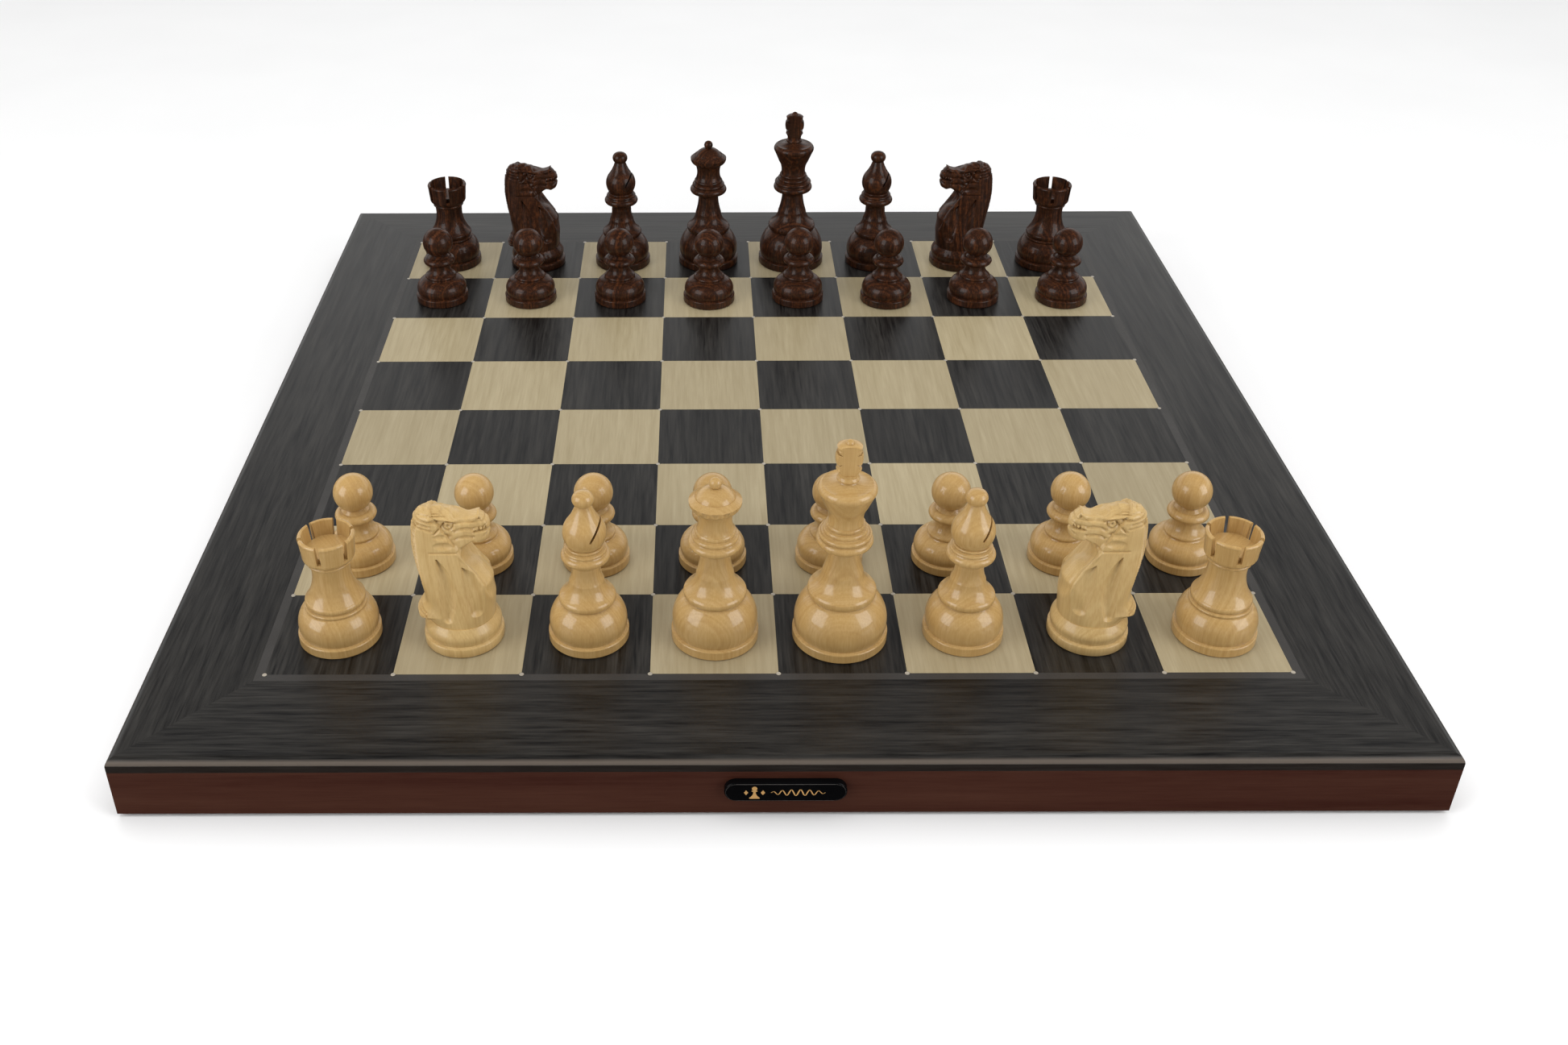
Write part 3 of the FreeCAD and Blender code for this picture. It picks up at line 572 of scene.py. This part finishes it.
def eye_cuts(where):
    """The ring and pupil of the eye, and the crease behind it."""
    middle = np.array((-1.7, 62.2))
    out = np.linalg.norm(where - middle, axis=1)
    ring = 0.7 * np.exp(-((out - 2.0) / 0.45) ** 2)
    pupil = 0.9 * np.exp(-(out / 0.6) ** 2)
    return ring + pupil + groove(where, 0.5, 0.8, (-3.8, 63.0), (-7.6, 58.8))


def mane_cuts(where, inside):
    """Slanting nicks all down the back edge, some longer ones behind the eye, and three on the lump below."""
    slant = where[:, 1] + 0.8 * where[:, 0]
    wave = np.abs((slant / MANE_PITCH) % 1 - 0.5) * 2
    high = smooth(where[:, 1], 31.0, 34.0) * smooth(-where[:, 1], -64.5, -62.5)
    back = smooth(-where[:, 0], 11.0, 13.0)
    nicks = 1.0 * wave * high * back * smooth(-inside, -4.0, -1.2)
    for low in (0.0, 2.0, 4.2):
        nicks = nicks + groove(where, 0.4, 0.6, (-18.5, 62.4 + low * 0.8), (-8.8 - low * 0.4, 60.2 + low))
    for low in (0.0, 2.3, 4.6):
        nicks = nicks + groove(where, 0.5, 0.9, (-19.6, 20.4 - low), (-14.6, 15.6 - low * 0.6 + 3.0))
    return nicks


def head_cuts(where):
    """The cuts of the crown, forehead, cheek, muzzle and mouth."""
    depth = np.zeros(len(where))
    for height, start in ((69.3, -12.0), (68.3, -14.0), (67.1, -15.0)):
        depth += groove(where, 0.35, 0.45, (start, height - 0.8), (start + 3, height), (-2.0, height))
    far, side, _ = path_distance(where, [(-5.0, 75.0), (0.9, 65.2), (8.0, 65.4), (20.0, 65.8)])
    depth += 0.6 * smooth(far * side, 0.0, 1.4) * smooth(-where[:, 0], -9.0, -3.0)
    depth -= groove(where, 0.8, 0.5, (-9.5, 65.5), (0.0, 65.0), (6.5, 64.9), (9.5, 65.8))
    depth += groove(where, 0.4, 0.5, (-10.0, 64.2), (-5.0, 64.6), (0.8, 63.9))
    depth += bowl(where, (-7.4, 64.6), (2.2, 1.2), -20, 0.8)
    depth += bowl(where, (-4.2, 57.2), (4.3, 1.5), 0, 0.8)
    depth += bowl(where, (-4.2, 52.9), (4.4, 2.0), 0, 0.8)
    depth += groove(where, 0.35, 0.5, (-10.2, 49.4), (0.8, 49.4))
    for height in (64.3, 60.2, 56.2):
        depth += groove(where, 0.55, 0.7, (0.6, height - 1.0), (2.6, height), (5.6, height + 0.3),
                        (8.8, height - 0.5))
    depth += 1.3 * np.exp(-(np.linalg.norm(where - np.array((11.6, 64.8)), axis=1) / 0.9) ** 2)
    depth += groove(where, 0.35, 0.4, (8.9, 63.0), (12.6, 63.2), (16.6, 65.4))
    depth += groove(where, 0.35, 0.4, (9.2, 60.3), (12.8, 60.4), (17.0, 62.6))
    depth += groove(where, 0.45, 1.1, (9.4, 58.3), (17.4, 58.5))
    for x in (11.4, 13.0, 14.6):
        depth += groove(where, 0.3, 0.7, (x, 58.5), (x, 60.0))
    depth += groove(where, 0.4, 0.4, (13.4, 55.6), (15.2, 56.2), (17.2, 58.0))
    return depth


def chest_cuts(where):
    """The flat chest in front of a slanting ridge, the hollow under the jaw and two leaf-shaped gouges."""
    ridge = [(0.4, 52.0), (2.4, 48.6), (6.4, 42.2), (11.9, 33.2), (14.2, 22.0)]
    far, side, _ = path_distance(where, ridge)
    front = far * side
    depth = 1.1 * smooth(front, 0.0, 1.2) * smooth(where[:, 1], 22.0, 30.0)
    crest = 0.35 * np.exp(-((front + 0.5) / 0.6) ** 2)
    depth -= crest * smooth(where[:, 1], 31.0, 34.0) * smooth(-where[:, 1], -50.0, -48.0)
    jaw = [(0.4, 49.6), (4.0, 52.4), (8.6, 54.2), (13.0, 50.0)]
    far, side, _ = path_distance(where, jaw)
    hollow = 1.3 * smooth(-far * side, 0.0, 0.9) * smooth(front, -0.4, 0.8)
    depth += hollow * smooth(where[:, 1], 38.0, 44.0) * smooth(-where[:, 0], -12.0, -9.0)
    depth += leaf(where, 1.15, (-7.6, 46.4, 0.3), (-5.6, 40.5, 2.2), (-4.0, 33.0, 3.3), (-3.8, 25.0, 3.4),
                  (-4.4, 18.5, 2.4))
    depth += leaf(where, 1.25, (3.2, 42.4, 0.3), (5.6, 37.4, 3.2), (7.2, 31.5, 4.4), (8.0, 26.0, 4.2),
                  (8.2, 21.5, 3.0))
    return depth


def horse_grid():
    """The side view's grid of points, half the thickness and the depth of the cuts there, and its rim."""
    rows = np.linspace(0, 1, KNIGHT_ROWS + 1)
    columns = np.linspace(0, 1, KNIGHT_COLUMNS + 1)
    columns = 0.6 * columns + 0.4 * (1 - np.cos(np.pi * columns)) / 2
    last = len(KNIGHT_BACK) - 1
    back = through(KNIGHT_BACK, rows * last)
    front = through(KNIGHT_FRONT, rows * last)
    top = through(KNIGHT_TOP, columns * (len(KNIGHT_TOP) - 1))
    chord = back[-1] + columns[:, None] * (front[-1] - back[-1])
    grid = back[:, None] + columns[None, :, None] * (front - back)[:, None]
    grid = grid + rows[:, None, None] ** 4 * (top - chord)[None]
    edge = np.vstack([back, top[1:-1], front[::-1]])
    where = grid.reshape(-1, 2)
    inside = path_distance(where, edge)[0]
    half = np.interp(where[:, 1], *zip(*THICKNESS))
    half -= 2.6 * smooth(where[:, 0], 2.0, 16.0) * smooth(where[:, 1], 47.0, 52.0)
    half -= 1.6 * smooth(-where[:, 0], 9.0, 18.0) * smooth(where[:, 1], 30.0, 45.0)
    radius = np.interp(where[:, 1], *zip(*ROUNDING))
    radius -= 2.0 * smooth(where[:, 0], 6.0, 13.0) * smooth(where[:, 1], 58.0, 62.0)
    reach = np.clip(inside / radius, 0, 1)
    half *= np.sqrt(1 - (1 - reach) ** 2)
    rim = np.zeros(grid.shape[:2], bool)
    rim[-1] = rim[:, 0] = rim[:, -1] = True
    half[rim.ravel()] = 0
    cuts = mane_cuts(where, inside) + head_cuts(where) + chest_cuts(where) + eye_cuts(where)
    cuts *= CUT_DEPTH * smooth(where[:, 1], 13.5, 15.0)
    return where, half, cuts, rim


def horse():
    """Points, in millimetres, and faces of the carved horse."""
    where, half, cuts, rim = horse_grid()
    across = KNIGHT_COLUMNS + 1
    near = np.arange(len(where)).reshape(-1, across)
    far = near.copy()
    loose = np.flatnonzero(~rim.ravel())
    far.ravel()[loose] = len(where) + np.arange(len(loose))
    points = np.vstack([
        np.column_stack([where[:, 0], -half, where[:, 1]]),
        np.column_stack([where[loose, 0], half[loose], where[loose, 1]]),
    ])
    quads = []
    for grid, order in ((near, (0, 1, 2, 3)), (far, (3, 2, 1, 0))):
        corners = (grid[:-1, :-1], grid[:-1, 1:], grid[1:, 1:], grid[1:, :-1])
        quads.append(np.stack([corners[step] for step in order], -1).reshape(-1, 4))
    bottom = list(near[0][::-1]) + list(far[0][1:-1])
    faces = np.vstack(quads).tolist() + [[int(index) for index in bottom]]
    uncut = bpy.data.meshes.new("uncut")
    uncut.from_pydata(points.tolist(), [], faces)
    normals = np.zeros(len(points) * 3, np.float32)
    uncut.vertices.foreach_get("normal", normals)
    bpy.data.meshes.remove(uncut)
    depth = np.concatenate([cuts, cuts[loose]])
    return points - depth[:, None] * normals.reshape(-1, 3), faces


# ---------------------------------------------------------------- the badge

# In millimetres from the middle of the badge's front: x to the right, z up, and depth into the board.

BADGE_HALF_LENGTH = 24.8
BADGE_HALF_HEIGHT = 5.0
RIM_INSET = 0.6
RIM_RADIUS = 0.15
RIM_SUNK = 0.17
MOTIF_PROUD = 0.05
MOTIF_SUNK = 0.25
PAWN_OUTLINE = [
    (2.1, -3.3), (2.1, -2.7), (1.5, -2.3), (1.0, -1.6), (0.6, -0.6), (0.45, 0.4), (1.15, 0.7), (1.15, 1.05),
    (0.5, 1.2),
]
# The head is a ball: its height and its radius. A diamond has its distance from the pawn and half its sizes.
PAWN_HEAD = (2.2, 1.1)
PAWN_X = -12.6
LOZENGE = (3.4, 0.9, 1.3)
SCROLL_START = -6.0
SCROLL_LENGTH = 22.0
SCROLL_HEIGHT = 1.6
SCROLL_WAVES = 6


def stadium(inset, steps=20):
    """The badge's outline, moved in by inset, as (x, z)."""
    radius = BADGE_HALF_HEIGHT - inset
    straight = BADGE_HALF_LENGTH - BADGE_HALF_HEIGHT
    ends = []
    for middle, start in ((straight, -90), (-straight, 90)):
        for step in range(steps + 1):
            angle = math.radians(start + 180 * step / steps)
            ends.append((middle + radius * math.cos(angle), radius * math.sin(angle)))
    return ends


def pawn_outline():
    """A plain chess pawn, seen from the side."""
    height, radius = PAWN_HEAD
    head = []
    for step in range(13):
        angle = math.radians(-50 + 280 * step / 12)
        head.append((radius * math.cos(angle), height + radius * math.sin(angle)))
    left = [(-x, z) for x, z in reversed(PAWN_OUTLINE)]
    return [(x + PAWN_X, z) for x, z in PAWN_OUTLINE + head + left]


def lozenge_outline(side):
    """A small diamond to the left (-1) or right (1) of the pawn."""
    away, half_width, half_height = LOZENGE
    x = PAWN_X + side * away
    return [(x + half_width, 0.0), (x, half_height), (x - half_width, 0.0), (x, -half_height)]


def scroll_outline():
    """A wavy pen stroke that is thick in its climbs, thin at its turns, and fades out at both ends."""
    steps = 40 * SCROLL_WAVES
    part = np.linspace(0, 1, steps + 1)
    turn = 2 * np.pi * SCROLL_WAVES * part
    swell = np.sin(np.pi * part) ** 0.5
    middle = np.column_stack([SCROLL_START + SCROLL_LENGTH * part, SCROLL_HEIGHT * np.sin(turn) * swell])
    ahead = np.gradient(middle, axis=0)
    ahead /= np.linalg.norm(ahead, axis=1)[:, None]
    across = np.column_stack([-ahead[:, 1], ahead[:, 0]])
    half = (0.12 + 0.16 * np.abs(np.cos(turn))) * (0.2 + 0.8 * swell)
    upper = middle + across * half[:, None]
    lower = middle - across * half[:, None]
    return upper, lower


def ribbon(upper, lower, low, high):
    """Points and faces of a flat strip between two lines in the XZ plane."""
    count = len(upper)
    points = [(x, depth, z) for depth in (low, high) for line in (upper, lower) for x, z in line]
    faces = []
    for step in range(count - 1):
        a, b = step, step + 1
        faces.append((a, b, b + count, a + count))
        faces.append((b + 2 * count, a + 2 * count, a + 3 * count, b + 3 * count))
        faces.append((b, a, a + 2 * count, b + 2 * count))
        faces.append((a + count, b + count, b + 3 * count, a + 3 * count))
    last = count - 1
    faces.append((0, count, 3 * count, 2 * count))
    faces.append((last + count, last, last + 2 * count, last + 3 * count))
    return np.array(points), faces


def add_badge_motif():
    """A polished rim, a pawn between two diamonds, and a scroll: plain ornament with no lettering."""
    low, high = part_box("name_badge")
    origin = np.array(((low[0] + high[0]) / 2, low[1], (low[2] + high[2]) / 2))
    gold = moulded("badge_gold", rgb(205, 160, 98), 0.4, 0.0006, 0.00001, metallic=0.2)
    steel = moulded("badge_rim", rgb(128, 124, 120), 0.3, 0.0006, 0.00001, metallic=0.3)
    path = [(x, RIM_SUNK, z) for x, z in stadium(RIM_INSET)]
    points, faces = ring_tube(path, RIM_RADIUS)
    add_piece("badge_rim", points * MM + origin, faces, steel, "board")
    points, faces = plate(pawn_outline(), -MOTIF_PROUD, MOTIF_SUNK)
    add_piece("badge_pawn", points * MM + origin, faces, gold, "board")
    for name, side in (("badge_lozenge_left", -1), ("badge_lozenge_right", 1)):
        points, faces = plate(lozenge_outline(side), -MOTIF_PROUD, MOTIF_SUNK)
        add_piece(name, points * MM + origin, faces, gold, "board")
    points, faces = ribbon(*scroll_outline(), -MOTIF_PROUD, MOTIF_SUNK)
    add_piece("badge_scroll", points * MM + origin, faces, gold, "board")


# ---------------------------------------------------------------- stage

FLOOR_SIZE = 12.0
SURROUND = 1.0
CEILING = 0.06
BELOW = 0.05
# How bright the surround is, by the height of the direction: 0 is level and 1 is straight up.
SURROUND_STOPS = ((0.0, BELOW), (0.01, 1.0), (0.34, 1.0), (0.40, 0.92), (0.52, 0.48), (0.64, CEILING))
FRONT_SHARE = 0.25
BOX_RADIANCE = 4.0
BOX_PLACE = (1.23, -0.80, 0.62)
BOX_AIM = (0, 0, 0.03)
BOX_SIZE = (0.9, 1.1)
OVERHEAD_RADIANCE = 1.75
OVERHEAD_PLACE = (0, 0.3, 2.6)
OVERHEAD_AIM = (0, 0.3, 0)
OVERHEAD_SIZE = (4.0, 4.0)


def add_floor():
    """The paper the board stands on. Polished surfaces don't mirror it, so dark sides stay dark."""
    bpy.ops.mesh.primitive_plane_add(size=FLOOR_SIZE, location=(0, 0, 0))
    floor = bpy.context.object
    floor.name = "floor"
    floor.data.materials.append(floor_material())
    floor.visible_glossy = False


def add_light(name, place, aim, size, radiance, mirrored=True):
    """A soft box of the given brightness. One that isn't mirrored gives light but no highlight."""
    data = bpy.data.lights.new(name, "AREA")
    data.shape = "RECTANGLE"
    data.size, data.size_y = size
    data.energy = radiance * math.pi * size[0] * size[1]
    light = bpy.data.objects.new(name, data)
    light.location = place
    light.rotation_euler = (Vector(aim) - Vector(place)).to_track_quat("-Z", "Y").to_euler()
    light.visible_glossy = mirrored
    bpy.context.collection.objects.link(light)


def add_world():
    """A surround that is bright behind the board, and darkens towards the ceiling and the viewer's side."""
    world = bpy.data.worlds.new("studio")
    world.use_nodes = True
    tree = world.node_tree
    direction = tree.nodes.new("ShaderNodeTexCoord")
    height = tree.nodes.new("ShaderNodeSeparateXYZ")
    tree.links.new(direction.outputs["Generated"], height.inputs[0])
    ramp = tree.nodes.new("ShaderNodeValToRGB")
    tree.links.new(height.outputs["Z"], ramp.inputs["Fac"])
    band = ramp.color_ramp
    while len(band.elements) < len(SURROUND_STOPS):
        band.elements.new(0.5)
    for element, (position, grey) in zip(band.elements, SURROUND_STOPS):
        element.position = position
        element.color = (grey, grey, grey, 1.0)
    front = tree.nodes.new("ShaderNodeMapRange")
    tree.links.new(height.outputs["Y"], front.inputs["Value"])
    for key, value in (("From Min", -0.2), ("From Max", 0.6), ("To Min", FRONT_SHARE), ("To Max", 1.0)):
        front.inputs[key].default_value = value
    shade = tree.nodes.new("ShaderNodeVectorMath")
    shade.operation = "SCALE"
    tree.links.new(ramp.outputs["Color"], shade.inputs[0])
    tree.links.new(front.outputs["Result"], shade.inputs["Scale"])
    background = tree.nodes["Background"]
    tree.links.new(shade.outputs["Vector"], background.inputs["Color"])
    background.inputs["Strength"].default_value = SURROUND
    bpy.context.scene.world = world


def add_lights():
    """A soft box on each side of the camera, and a wide one overhead."""
    x, y, z = BOX_PLACE
    for name, side in (("soft_left", -1), ("soft_right", 1)):
        add_light(name, (side * x, y, z), BOX_AIM, BOX_SIZE, BOX_RADIANCE)
    add_light("overhead", OVERHEAD_PLACE, OVERHEAD_AIM, OVERHEAD_SIZE, OVERHEAD_RADIANCE, mirrored=False)


def add_camera():
    """The photograph's camera, worked out from the corners of the board's squares."""
    data = bpy.data.cameras.new("camera")
    data.sensor_width = SENSOR_WIDTH
    data.lens = LENS
    data.shift_x = SHIFT_X
    data.shift_y = SHIFT_Y
    data.clip_start = 0.01
    camera = bpy.data.objects.new("camera", data)
    camera.location = Vector((0, 0, BOARD_TOP)) + CAMERA_OFFSET
    camera.rotation_euler = CAMERA_TURN
    bpy.context.collection.objects.link(camera)
    bpy.context.scene.camera = camera


# ---------------------------------------------------------------- build

bpy.context.scene.view_settings.view_transform = "Standard"
MEN_WOOD = {
    "white": polished_wood("boxwood", BOXWOOD, **BOXWOOD_FIGURE, coat=0.55),
    "black": polished_wood("rosewood", ROSEWOOD, **ROSEWOOD_FIGURE, coat=0.20),
}
# The white knights wear the brightened boxwood, a painted lightening of the same wood.
KNIGHT_WOOD = {
    "white": polished_wood("boxwood_brightened", BOXWOOD_BRIGHTENED, **BOXWOOD_FIGURE, coat=0.30),
    "black": MEN_WOOD["black"],
}
add_camera()
add_floor()
add_world()
add_lights()
dress_nodes()
add_felts()
add_knights()
add_badge_motif()
